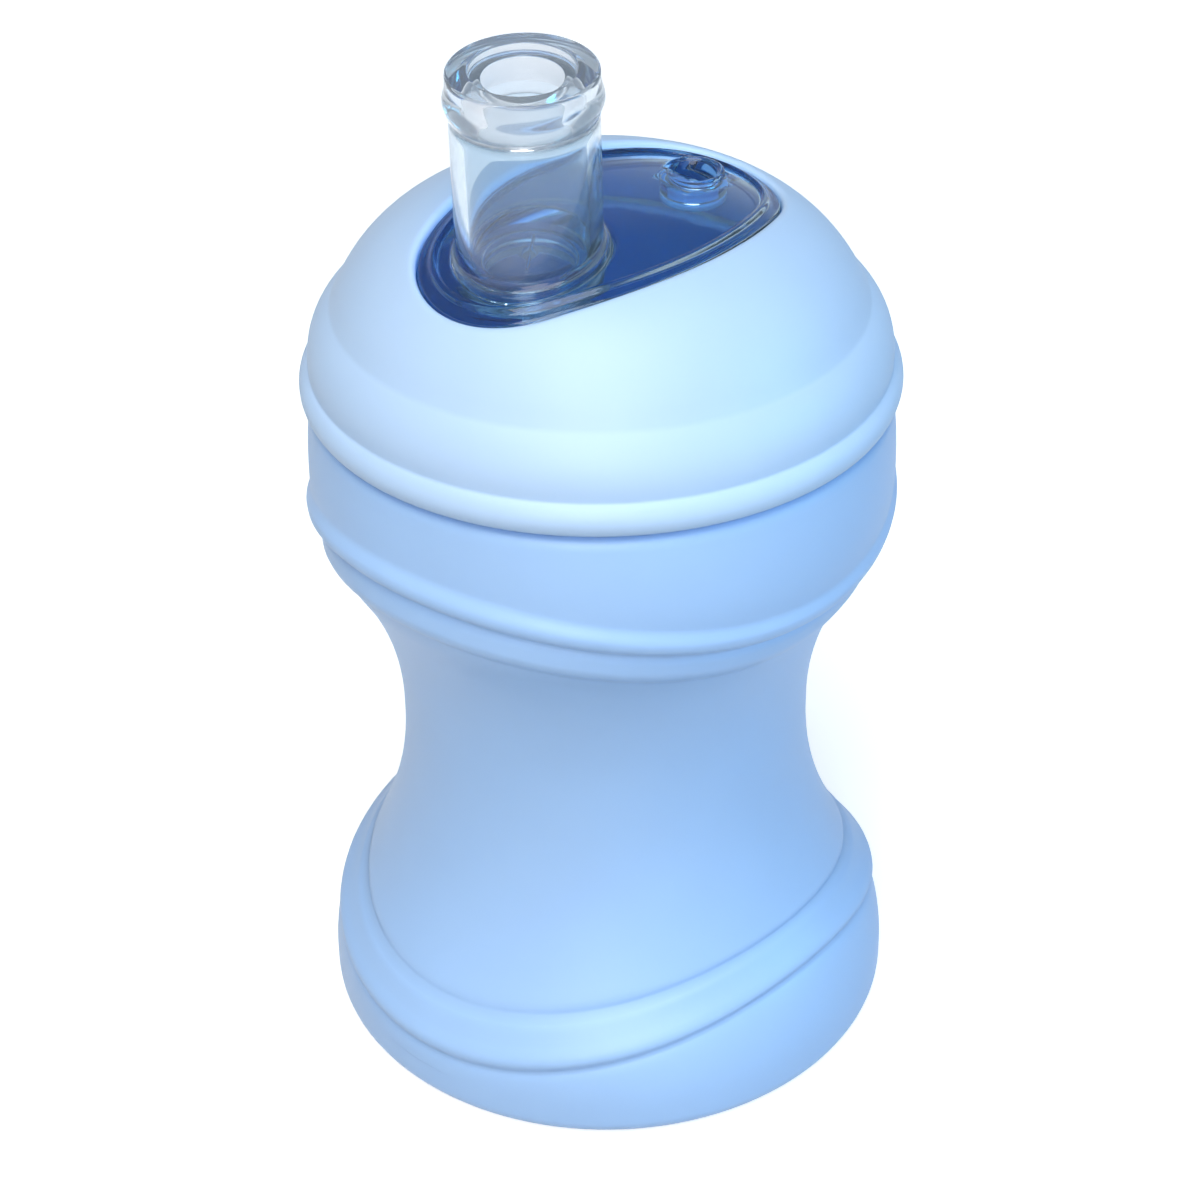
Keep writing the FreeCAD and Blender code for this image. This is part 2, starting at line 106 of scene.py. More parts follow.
# The egg-shaped opening: two end arcs and two long side arcs, each (x and y of its centre, radius).
EGG_TURN = math.radians(39.4)
EGG_PLACE = (1.8, -2.2)
EGG_VENT_END = (9.7, 0.0, 13.8)
EGG_SPOUT_END = (-13.3, 0.0, 14.0)
EGG_SIDE = (-2.0, 20.03, 37.0)
# How far under the dome the clear plate's face and its flange's two faces lie, and the flange's reach.
PLATE_DROP = 1.0
FLANGE_TOP = 2.3
FLANGE_FOOT = 3.6
FLANGE_REACH = 2.2
# The spout's foot on the plate and the way it leans.
PLATE_HEIGHT = 121.87
SPOUT_FOOT = (-8.48, -10.64, PLATE_HEIGHT)
SPOUT_LEAN = math.radians(5.2)
SPOUT_LEAN_TURN = math.radians(264)
# The spout's radius and bore, and along its axis its mouth, its socket's end and the slit valve's seat.
SPOUT_RADIUS = 9.05
BORE_RADIUS = 7.3
MOUTH_HEIGHT = 23.2
SOCKET_END = -4.7
VALVE_SEAT = -4.75
VENT_PLACE = (11.89, 8.95)
WELL_RADIUS = 4.2
WELL_DEPTH = 4.6

# The camera's place in metres, how far it looks down in degrees, its roll in radians and its shift.
CAMERA_PLACE = (0, -0.3166, 0.2755)
CAMERA_PITCH = 34.01
CAMERA_ROLL = -0.0133
CAMERA_SHIFT = -0.0035
# Lamps: name, place, width, share of the key light's power and colour. They all point at one place.
LAMPS = [
    ("key", (-0.10, -0.42, 1.0), 0.8, 1.0, "FFFFFF"),
    ("front", (-0.05, -0.85, 0.5), 0.6, 0.5, "FFFFFF"),
    ("fill", (0.85, -0.2, 0.4), 0.5, 0.3, "4CC8FF"),
]
LAMPS_AIM = (0, 0, 0.07)
FLOOR_RADIUS = 3.0


# ---------------------------------------------------------------- shapes

def along_table(table, x):
    """The value at x on a smooth line through the table's points that never overshoots them."""
    if x <= table[0][0]:
        return table[0][1]
    if x >= table[-1][0]:
        return table[-1][1]
    index = next(i for i in range(len(table) - 1) if table[i + 1][0] >= x)

    def slope(i):
        return (table[i + 1][1] - table[i][1]) / (table[i + 1][0] - table[i][0])

    def tangent(i):
        if i == 0 or i == len(table) - 1:
            return 0.0
        before, after = slope(i - 1), slope(i)
        return 0.0 if before * after <= 0 else 2 * before * after / (before + after)

    (x0, y0), (x1, y1) = table[index], table[index + 1]
    width = x1 - x0
    t = (x - x0) / width
    rise = y0 * (1 + 2 * t) * (1 - t) ** 2 + y1 * t * t * (3 - 2 * t)
    return rise + width * (tangent(index) * t * (1 - t) ** 2 + tangent(index + 1) * t * t * (t - 1))


def arc_centre(start, chord, curve):
    """The centre of the arc over a chord: it bulges to the right of it, or to the left if negative."""
    drop = math.sqrt(curve * curve - (chord.length / 2) ** 2)
    left = Vector((-chord.y, chord.x)).normalized()
    return Vector(start) + chord / 2 + left * math.copysign(drop, curve)


def arc_points(start, end, curve, step):
    """Points from start to end, straight if curve is 0 and else along an arc of that radius."""
    chord = Vector((end[0] - start[0], end[1] - start[1]))
    count = max(1, round(chord.length / step))
    if not curve:
        return [
            (start[0] + chord.x * i / count, start[1] + chord.y * i / count)
            for i in range(count + 1)]
    centre = arc_centre(start, chord, curve)
    first = Vector(start) - centre
    turn = math.copysign(2 * math.asin(chord.length / 2 / abs(curve)), curve)
    points = []
    for i in range(count + 1):
        c, s = math.cos(turn * i / count), math.sin(turn * i / count)
        points.append((centre.x + first.x * c - first.y * s, centre.y + first.x * s + first.y * c))
    return points


def trimmed(points, length):
    """The run of points with that length cut off its start."""
    points = list(points)
    while len(points) > 2:
        gap = math.dist(points[0], points[1])
        if gap > length:
            break
        length -= gap
        points.pop(0)
    gap = math.dist(points[0], points[1])
    share = min(0.9, length / gap)
    first = tuple(a + (b - a) * share for a, b in zip(points[0], points[1]))
    return [first] + points[1:]


def section(corners):
    """Points along a run of corners (radius, height, curve of the next side, softening, step)."""
    legs = [arc_points(a[:2], b[:2], a[2], a[4]) for a, b in zip(corners, corners[1:])]
    points = [legs[0][0]]
    for index, leg in enumerate(legs):
        soft_start = corners[index][3] if index else 0
        soft_end = corners[index + 1][3] if index + 1 < len(legs) else 0
        if soft_start:
            leg = trimmed(leg, soft_start)
            corner, before = corners[index][:2], points[-1]
            for t in (0.25, 0.5, 0.75):
                points.append(tuple(
                    (1 - t) ** 2 * a + 2 * t * (1 - t) * b + t * t * c
                    for a, b, c in zip(before, corner, leg[0])))
            points.append(leg[0])
        if soft_end:
            leg = trimmed(leg[::-1], soft_end)[::-1]
        points += leg[1:] if len(leg) > 1 else []
    return points


def first_where(outline, test):
    """The number of the outline's first point whose radius and height pass the test."""
    return next(i for i, point in enumerate(outline) if test(*point))


def placed(place):
    """The points that place gives at each turn of a ring."""
    return [place(FULL_TURN * i / SEGMENTS) for i in range(SEGMENTS)]


def ring(radius, height):
    """A level ring round the cup's axis."""
    return placed(lambda turn: (radius * math.cos(turn), radius * math.sin(turn), height))


def dome_height(x, y):
    """The height of the dome's outer face there."""
    base, rise, reach, power = DOME
    return base + rise * max(0.0, 1 - (math.hypot(x, y) / reach) ** power) ** (1 / power)


def egg_point(turn, inset):
    """The point of the opening's outline, moved in by inset, where the outline faces that way."""
    facing = (turn - EGG_TURN + math.pi) % FULL_TURN - math.pi
    side = math.copysign(1, facing)
    to_vent = math.atan2(EGG_SIDE[1], EGG_VENT_END[0] - EGG_SIDE[0])
    to_spout = math.atan2(EGG_SIDE[1], EGG_SPOUT_END[0] - EGG_SIDE[0])
    if abs(facing) < to_vent:
        x, y, radius = EGG_VENT_END
    elif abs(facing) > to_spout:
        x, y, radius = EGG_SPOUT_END
    else:
        x, y, radius = EGG_SIDE[0], -side * EGG_SIDE[1], EGG_SIDE[2]
    x += (radius - inset) * math.cos(facing)
    y += (radius - inset) * math.sin(facing)
    c, s = math.cos(EGG_TURN), math.sin(EGG_TURN)
    return EGG_PLACE[0] + x * c - y * s, EGG_PLACE[1] + x * s + y * c


def egg_ring(inset, drop):
    """A ring on the dome, lowered by drop, that follows the opening's outline."""
    def place(turn):
        x, y = egg_point(turn, inset)
        return x, y, dome_height(x, y) - drop
    return placed(place)


def blended(first, last, share, drop=None):
    """A ring between two rings, laid on the dome lowered by drop if there is one."""
    points = []
    for start, end in zip(first, last):
        x, y, z = (a + (b - a) * share for a, b in zip(start, end))
        points.append((x, y, z if drop is None else dome_height(x, y) - drop))
    return points


SPOUT_FRAME = (
    Matrix.Translation(SPOUT_FOOT)
    @ Matrix.Rotation(SPOUT_LEAN_TURN, 4, "Z")
    @ Matrix.Rotation(SPOUT_LEAN, 4, "Y"))
VENT_FRAME = Matrix.Translation((*VENT_PLACE, 0))


def spout_point(radius, turn, height):
    """A point that far up the spout's axis from its foot, at the world's turn round it."""
    local = turn - SPOUT_LEAN_TURN
    return tuple(SPOUT_FRAME @ Vector((radius * math.cos(local), radius * math.sin(local), height)))


def spout_ring(radius, height):
    """A ring round the spout's axis."""
    return placed(lambda turn: spout_point(radius, turn, height))


def foot_ring(radius, drop):
    """A ring where the spout's wall, at that radius, meets the dome lowered by drop."""
    def place(turn):
        height = 0.0
        for _ in range(4):
            x, y, z = spout_point(radius, turn, height)
            height += dome_height(x, y) - drop - z
        return spout_point(radius, turn, height)
    return placed(place)


def skin(rings, closed, zones=()):
    """A mesh through the rings: a flat grid is wrapped round them and its edges are merged.

    Each zone is a ring's number and the number of the material that the faces take from there on.
    """
    if closed:
        rings = rings + rings[:1]
    rows, segments = len(rings) - 1, len(rings[0])
    bm = bmesh.new()
    bmesh.ops.create_grid(bm, x_segments=segments, y_segments=rows, size=0.5)
    row_of = {}
    for vert in bm.verts:
        row, column = round((vert.co.y + 0.5) * rows), round((vert.co.x + 0.5) * segments)
        row_of[vert] = row
        vert.co = rings[row][column % segments]
    for face in bm.faces:
        row = min(row_of[vert] for vert in face.verts)
        face.material_index = next((number for first, number in reversed(zones) if row >= first), 0)
    bmesh.ops.remove_doubles(bm, verts=bm.verts, dist=MERGE)
    return bm


def turned(outline, segments, place=None, closed=False):
    """A round shape: an outline of (radius, height) spun once round, then moved to its place."""
    bm = bmesh.new()
    line = [bm.verts.new((radius, 0, height)) for radius, height in outline]
    edges = [bm.edges.new(pair) for pair in zip(line, line[1:])]
    if closed:
        edges.append(bm.edges.new((line[-1], line[0])))
    bmesh.ops.spin(
        bm, geom=line + edges, cent=(0, 0, 0), axis=(0, 0, 1), angle=FULL_TURN, steps=segments,
        use_merge=True)
    bmesh.ops.remove_doubles(bm, verts=bm.verts, dist=MERGE)
    if place:
        bmesh.ops.transform(bm, matrix=place, verts=bm.verts)
    return bm


def add_ridges(bm, corners):
    """Two thread ridges, half a turn apart: a section is spun up the screw and its ends are closed."""
    steps = round(SEGMENTS * THREAD_TURNS)
    ridge = bmesh.new()
    for start_turn in (0, math.pi):
        line = [ridge.verts.new((x, 0, z)) for x, z in corners]
        bmesh.ops.rotate(ridge, verts=line, cent=(0, 0, 0), matrix=Matrix.Rotation(start_turn, 3, "Z"))
        edges = [ridge.edges.new(pair) for pair in zip(line, line[1:] + line[:1])]
        made = bmesh.ops.spin(
            ridge, geom=line + edges, cent=(0, 0, 0), axis=(0, 0, 1),
            dvec=(0, 0, THREAD_LEAD * THREAD_TURNS / steps), angle=FULL_TURN * THREAD_TURNS, steps=steps)
        last = [item for item in made["geom_last"] if isinstance(item, bmesh.types.BMEdge)]
        bmesh.ops.holes_fill(ridge, edges=edges + last, sides=len(corners))
    mesh = bpy.data.meshes.new("ridges")
    ridge.to_mesh(mesh)
    ridge.free()
    bm.from_mesh(mesh)
    bpy.data.meshes.remove(mesh)


def as_mesh(bm, name):
    """Point every face outwards and turn millimetres into metres."""
    bmesh.ops.recalc_face_normals(bm, faces=bm.faces)
    bmesh.ops.scale(bm, verts=bm.verts, vec=(MM, MM, MM))
    for face in bm.faces:
        face.smooth = True
    mesh = bpy.data.meshes.new(name)
    bm.to_mesh(mesh)
    bm.free()
    return mesh


def add_piece(bm, name, body, node, slot, *materials):
    """The finished piece, riding on its body in place of its CAD node."""
    piece = bpy.data.objects.new(name, as_mesh(bm, name))
    bpy.context.scene.collection.objects.link(piece)
    for material in materials:
        piece.data.materials.append(material)
    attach(piece, body)
    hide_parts(node)
    return piece


def combined(base, tool, operation):
    """The base mesh joined with the tool or cut by it; both are bmeshes in millimetres."""
    parts = []
    for bm in (base, tool):
        bmesh.ops.recalc_face_normals(bm, faces=bm.faces)
        mesh = bpy.data.meshes.new("part")
        bm.to_mesh(mesh)
        bm.free()
        part = bpy.data.objects.new("part", mesh)
        bpy.context.scene.collection.objects.link(part)
        parts.append(part)
    boolean = parts[0].modifiers.new("join", "BOOLEAN")
    boolean.operation = operation
    boolean.solver = "EXACT"
    boolean.object = parts[1]
    graph = bpy.context.evaluated_depsgraph_get()
    result = bpy.data.meshes.new_from_object(parts[0].evaluated_get(graph))
    bm = bmesh.new()
    bm.from_mesh(result)
    bmesh.ops.remove_doubles(bm, verts=bm.verts, dist=CUT_MERGE)
    for part in parts:
        mesh = part.data
        bpy.data.objects.remove(part)
        bpy.data.meshes.remove(mesh)
    bpy.data.meshes.remove(result)
    return bm


# ---------------------------------------------------------------- finishes

def hex_colour(code):
    """An sRGB hex colour as linear red, green and blue."""
    parts = [int(code[i:i + 2], 16) / 255 for i in (0, 2, 4)]
    return tuple(p / 12.92 if p <= 0.04045 else ((p + 0.055) / 1.055) ** 2.4 for p in parts)


def add_node(material, kind, settings=None, **links):
    """Add a node, set its properties and sockets, and link its inputs, named or numbered as in i0."""
    node = material.node_tree.nodes.new(kind)
    for name, value in (settings or {}).items():
        if hasattr(node, name):
            setattr(node, name, value)
        else:
            node.inputs[name].default_value = value
    for name, source in links.items():
        numbered = name[0] == "i" and name[1:].isdigit()
        socket = node.inputs[int(name[1:]) if numbered else name.replace("_", " ")]
        material.node_tree.links.new(source, socket)
    return node


def new_material(name):
    """A material without any nodes."""
    material = bpy.data.materials.new(name)
    material.use_nodes = True
    material.node_tree.nodes.clear()
    return material


def moulded_polypropylene(name, colour, roughness):
    """Injection-moulded polypropylene, spark-eroded to a satin, with a little light inside."""
    material = new_material(name)
    place = add_node(material, "ShaderNodeTexCoord").outputs["Object"]
    # slow flow clouds, about 30 mm across, that the eye reads as a moulded and not a painted colour
    clouds = add_node(material, "ShaderNodeTexNoise", {"Scale": 33.0, "Detail": 3.0}, Vector=place)
    tint = add_node(material, "ShaderNodeValToRGB", i0=clouds.outputs[0])
    tint.color_ramp.elements[0].position = 0.3
    tint.color_ramp.elements[1].position = 0.7
    tint.color_ramp.elements[0].color = (*(c * 0.97 for c in colour[:3]), 1)
    tint.color_ramp.elements[1].color = (*(min(1, c * 1.03) for c in colour[:3]), 1)
    # spark-eroded grain is about 0.1 mm; it is drawn at 0.4 mm so that it shows
    grain = add_node(material, "ShaderNodeTexNoise", {"Scale": 2500.0, "Detail": 2.0}, Vector=place)
    bump = add_node(
        material, "ShaderNodeBump", {"Strength": 0.10, "Distance": 0.00003}, Height=grain.outputs[0])
    gloss = add_node(
        material, "ShaderNodeMapRange", {"To Min": roughness - 0.05, "To Max": roughness + 0.05},
        Value=clouds.outputs[0])
    shader = add_node(
        material, "ShaderNodeBsdfPrincipled",
        {"IOR": 1.49, "Subsurface Weight": 0.1, "Subsurface Radius": (0.8, 1.0, 1.2),
         "Subsurface Scale": 0.0004},
        Base_Color=tint.outputs[0], Roughness=gloss.outputs[0], Normal=bump.outputs[0])
    add_node(material, "ShaderNodeOutputMaterial", Surface=shader.outputs[0])
    return material


def clear_silicone(name, colour, clarity, roughness):
    """Liquid silicone rubber from a polished mould: clear, with sharp glints; lamps shine through."""
    material = new_material(name)
    place = add_node(material, "ShaderNodeTexCoord").outputs["Object"]
    # the soft skin ripples by about a hundredth of a millimetre over about 4 mm
    ripple = add_node(material, "ShaderNodeTexNoise", {"Scale": 250.0, "Detail": 1.0}, Vector=place)
    bump = add_node(
        material, "ShaderNodeBump", {"Strength": 0.05, "Distance": 0.0002}, Height=ripple.outputs[0])
    wear = add_node(
        material, "ShaderNodeMapRange", {"To Min": roughness, "To Max": roughness + 0.03},
        Value=ripple.outputs[0])
    glass = add_node(
        material, "ShaderNodeBsdfPrincipled",
        {"Base Color": (*colour[:3], 1), "IOR": 1.41, "Transmission Weight": clarity},
        Roughness=wear.outputs[0], Normal=bump.outputs[0])
    way = add_node(material, "ShaderNodeLightPath")
    # what a shadow ray keeps when it crosses the clear wall
    through = add_node(material, "ShaderNodeBsdfTransparent", {"Color": (*hex_colour("C4E6FA"), 1)})
    mixed = add_node(
        material, "ShaderNodeMixShader",
        i0=way.outputs["Is Shadow Ray"], i1=glass.outputs[0], i2=through.outputs[0])
    add_node(material, "ShaderNodeOutputMaterial", Surface=mixed.outputs[0])
    return material


def milky_silicone(name, colour):
    """Compression-moulded silicone, a little cloudy: dull, soft edges with some light inside."""
    material = new_material(name)
    place = add_node(material, "ShaderNodeTexCoord").outputs["Object"]
    # the cloudiness comes in patches about 2.5 mm across
    cloud = add_node(material, "ShaderNodeTexNoise", {"Scale": 400.0, "Detail": 2.0}, Vector=place)
    tint = add_node(material, "ShaderNodeValToRGB", i0=cloud.outputs[0])
    tint.color_ramp.elements[0].color = (*(c * 0.93 for c in colour[:3]), 1)
    tint.color_ramp.elements[1].color = (*colour[:3], 1)
    bump = add_node(
        material, "ShaderNodeBump", {"Strength": 0.15, "Distance": 0.00005}, Height=cloud.outputs[0])
    shader = add_node(
        material, "ShaderNodeBsdfPrincipled",
        {"IOR": 1.41, "Roughness": 0.5, "Subsurface Weight": 0.3, "Subsurface Scale": 0.001},
        Base_Color=tint.outputs[0], Normal=bump.outputs[0])
    add_node(material, "ShaderNodeOutputMaterial", Surface=shader.outputs[0])
    return material


# ---------------------------------------------------------------- what a user may change

def length(name, text, default):
    """A length in metres that the panel shows."""
    return bpy.props.FloatProperty(
        name=name, description=text, default=default, precision=5, unit="LENGTH", subtype="DISTANCE")


def colour(name, text, code):
    """A colour that the panel shows."""
    return bpy.props.FloatVectorProperty(
        name=name, description=text, default=hex_colour(code), size=3, min=0, max=1, subtype="COLOR")


class CupSettings(bpy.types.PropertyGroup):
    rib_height: length("Rib height", "How proud the widest rib stands of the wall", 0.00095)
    upper_wave: length("Upper wave", "How far the upper ribs rise and fall round the cup", 0.0034)
    base_recess: length("Base recess", "Depth of the shallow hollow under the cup", 0.0006)
    wall_colour: colour("Cup colour", "Colour of the cup's moulded wall", "AACFFB")
    # painted shade: the cup's inside is drawn a deeper blue for the shade inside it
    painted_shade_inside_colour: colour("Inside colour", "Deeper colour of the cup's shaded inside", "107FCC")


class LidSettings(bpy.types.PropertyGroup):
    edge_round: length("Edge round", "Rounding of the lid's edge round the opening", 0.0011)
    lid_colour: colour("Lid colour", "Colour of the dome lid", "BCD8F7")
    # painted shade: the lid's underside is drawn a deeper blue for the shade under the dome
    painted_shade_roof_colour: colour("Roof colour", "Deeper colour of the lid's shaded inside", "6FA8E4")
    seal_colour: colour("Seal colour", "Colour of the flat seal ring", "DDE3E6")


class SpoutSettings(bpy.types.PropertyGroup):
    lip_height: length("Lip height", "How proud the lip stands round the clear plate", 0.00035)
    foot_fillet: length("Foot fillet", "Rounding between the plate and the spout", 0.0009)
    bead_width: length("Bead width", "How far the drinking bead stands out of the tube", 0.0006)
    plate_colour: colour("Plate tint", "Tint of the thin clear plate", "CDE8F8")
    tube_colour: colour("Tube tint", "Tint of the spout's tube", "D6E2EA")
    end_colour: colour("Spout tint", "Tint of the thick drinking end", "DCDDDF")
    valve_colour: colour("Valve tint", "Tint of the slit valve", "C6E2F6")
    # the vent colour is drawn darker and bluer than the seal's silicone, as painted shade for its well
    # under the plate
    vent_painted_shade_colour: colour("Vent colour", "Colour of the vent valve", "6F97BF")


class StageSettings(bpy.types.PropertyGroup):
    floor_colour: colour("Floor colour", "Colour of the plain floor", "F7F8FA")
    key_power: bpy.props.FloatProperty(
        name="Key light", description="Power of the main lamp", default=7.9, unit="POWER")
    lens: bpy.props.FloatProperty(
        name="Lens", description="Focal length of the camera in millimetres", default=84.0,
        unit="CAMERA")


# ---------------------------------------------------------------- pieces

def wall_radius(height):
    """The cup's smooth outer radius at that height."""
    for (r0, z0, curve), (r1, z1, _) in zip(CUP_OUTLINE, CUP_OUTLINE[1:]):
        if height <= z1 + 1e-9:
            centre = arc_centre((r0, z0), Vector((r1 - r0, z1 - z0)), curve)
            across = math.sqrt(curve * curve - (height - centre.y) ** 2)
            return centre.x + math.copysign(across, curve)
    raise ValueError(f"the cup has no wall at {height} mm")


def rib_ring(height, rib_scale, wave_scale):
    """A ring of the waved wall, named by its mean height."""
    wave = along_table(WAVES, height) * (wave_scale if height > WAIST_HEIGHT else 1)
    relief = along_table(RELIEF, height) * rib_scale

    def place(turn):
        z = height + wave * math.cos(2 * (turn - WAVE_TURN))
        radius = wall_radius(z) + relief
        return radius * math.cos(turn), radius * math.sin(turn), z
    return placed(place)


class SIPPY_OT_cup(bpy.types.Operator):
    """Build the hourglass cup with its waved ribs, neck and thread"""
    bl_idname = "sippy.cup"
    bl_label = "Cup"

    def execute(self, context):
        settings = context.scene.sippy_cup
        recess = settings.base_recess / MM
        rib_scale = settings.rib_height / MM / DRAWN_RIB
        wave_scale = settings.upper_wave / MM / DRAWN_WAVE
        ribs_foot, ribs_top = 4.5, 94.0
        base = section([
            (0, recess, 0, 0, 8),
            (33.2, recess, 0, 0.5, 1.2),
            (34.4, 0, 0, 0.5, 1.5),
            (37.45, 0, 2.4, 0, 0.4),
            (39.85, 2.4, 0, 0, 1),
            (39.85, ribs_foot, 0, 0, 1),
        ])
        rings = [ring(*point) for point in base]
        height = ribs_foot
        # up to each height, how far apart the rings of the wall are
        for top, step in ((16.5, 0.5), (24.0, 0.6), (70.0, 1.4), (85.5, 0.45), (ribs_top, 1.2)):
            count = round((top - height) / step)
            for i in range(count):
                rings.append(rib_ring(height + (top - height) * (i + 1) / count, rib_scale, wave_scale))
            height = top
        inside = section([
            (wall_radius(ribs_top), ribs_top, 0, 0, 0.5),
            (37.75, SHELF_HEIGHT, 0, 1.4, 1.4),
            (NECK_RADIUS, SHELF_HEIGHT, 0, 0.3, 1.2),
            (NECK_RADIUS, NECK_TOP, 0, 0.5, 0.7),
            (NECK_BORE, NECK_TOP, 0, 0.5, 1.6),
            (NECK_BORE, 93.6, -9.5, 0.8, 1.2),
            (36.7, 85.5, -22.7, 0, 2.0),
            (32.9, 71.07, 49.3, 0, 2.5),
            (26.13, WAIST_HEIGHT, 55.8, 0, 2.5),
            (35.06, 17.43, -22.2, 0, 2.0),
            (38.05, 4.5, -2.4, 0, 0.6),
            (37.45, 2.4, 0, 0.6, 6),
            (0, 2.4, 0, 0, 6),
        ])
        # from just under the rounded rim of the neck, the inside takes a deeper blue as painted shade
        # for the dim inside of the cup
        inner_wall = first_where(
            inside, lambda radius, height: radius < NECK_BORE + 0.5 and height < NECK_TOP - 0.3)
        painted_shade_from = len(rings) + inner_wall - 1
        rings += [ring(*point) for point in inside[1:]]
        bm = skin(rings, closed=False, zones=[(painted_shade_from, 1)])
        add_ridges(bm, CUP_RIDGE)
        outer = moulded_polypropylene(
            "polypropylene_moulded_satin_cup", settings.wall_colour, roughness=0.42)
        # the inner material is painted shade: the same plastic in a deeper blue for the dim inside
        inner = moulded_polypropylene(
            "polypropylene_painted_shade_inside", settings.painted_shade_inside_colour, roughness=0.35)
        add_piece(bm, "cup_shell", "cup", "cup_body", "cup_plastic", outer, inner)
        return {"FINISHED"}


class SIPPY_OT_lid(bpy.types.Operator):
    """Build the dome lid with its rolled bead, egg-shaped opening and thread"""
    bl_idname = "sippy.lid"
    bl_label = "Lid"

    def execute(self, context):
        settings = context.scene.sippy_lid
        edge = settings.edge_round / MM
        foot, bore, thread_top = 96.1, 35.05, 106.1
        shoulder, roof_radius = 33.2, 31.0
        outside = section([
            (bore, foot, 0, 0, 1.3),
            (37.6, foot, 2.65, 1.0, 0.3),
            (37.5, 100.7, 8.5, 0.3, 0.5),
            (34.4, 108.6, 0, 0.35, 0.4),
            (shoulder, dome_height(shoulder, 0), 0, 0, 0.5),
        ])
        rings = [ring(*point) for point in outside]
        lip, count = egg_ring(-edge, 0), 26
        rings += [blended(ring(shoulder, 0), lip, (i + 1) / count, 0.0) for i in range(count)]
        for i in range(1, 7):
            bend = math.pi / 2 * i / 6
            rings.append(egg_ring(-edge * (1 - math.sin(bend)), edge * (1 - math.cos(bend))))
        under_lip = egg_ring(0, LID_WALL)
        rings.append(under_lip)
        # from under the opening's lip on, the roof takes the deeper blue as painted shade
        painted_shade_from = len(rings) - 1
        # the roof thins a little towards the thread
        for share in (i / 8 for i in range(1, 8)):
            rings.append(blended(under_lip, ring(roof_radius, 0), share, LID_WALL - 0.3 * share ** 3))
        rings += [ring(*point) for point in section([
            (roof_radius, 112.4, 0, 0, 1.5),
            (roof_radius, thread_top, 0, 0.4, 1.3),
            (bore, thread_top, 0, 0.3, 1.5),
            (bore, foot, 0, 0, 1.5),
        ])[:-1]]
        bm = skin(rings, closed=True, zones=[(painted_shade_from, 1)])
        add_ridges(bm, LID_RIDGE)
        outer = moulded_polypropylene(
            "polypropylene_moulded_satin_lid", settings.lid_colour, roughness=0.45)
        # the inner material is painted shade: the lid's plastic in a deeper blue for the dim roof
        inner = moulded_polypropylene(
            "polypropylene_painted_shade_roof", settings.painted_shade_roof_colour, roughness=0.35)
        add_piece(bm, "dome_lid", "lid", "screw_lid", "lid_plastic", outer, inner)
        return {"FINISHED"}


class SIPPY_OT_seal(bpy.types.Operator):
    """Build the flat silicone ring between the neck and the lid"""
    bl_idname = "sippy.seal"
    bl_label = "Seal ring"

    def execute(self, context):
        low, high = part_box("lid_seal_ring")
        outer, inner = high.x / MM, 31.9
        bottom, top = low.z / MM, high.z / MM
        middle = (inner + outer) / 2
        outline = section([
            (middle, bottom, 0, 0, 1),
            (outer, bottom, 0, 0.3, 1),
            (outer, top, 0, 0.3, 1),
            (inner, top, 0, 0.3, 1),
            (inner, bottom, 0, 0.3, 1),
            (middle, bottom, 0, 0, 1),
        ])
        bm = turned(outline[:-1], SEGMENTS, closed=True)
        material = milky_silicone("silicone_moulded_milky", context.scene.sippy_lid.seal_colour)
        add_piece(bm, "seal_ring", "seal", "lid_seal_ring", "seal_silicone", material)
        return {"FINISHED"}


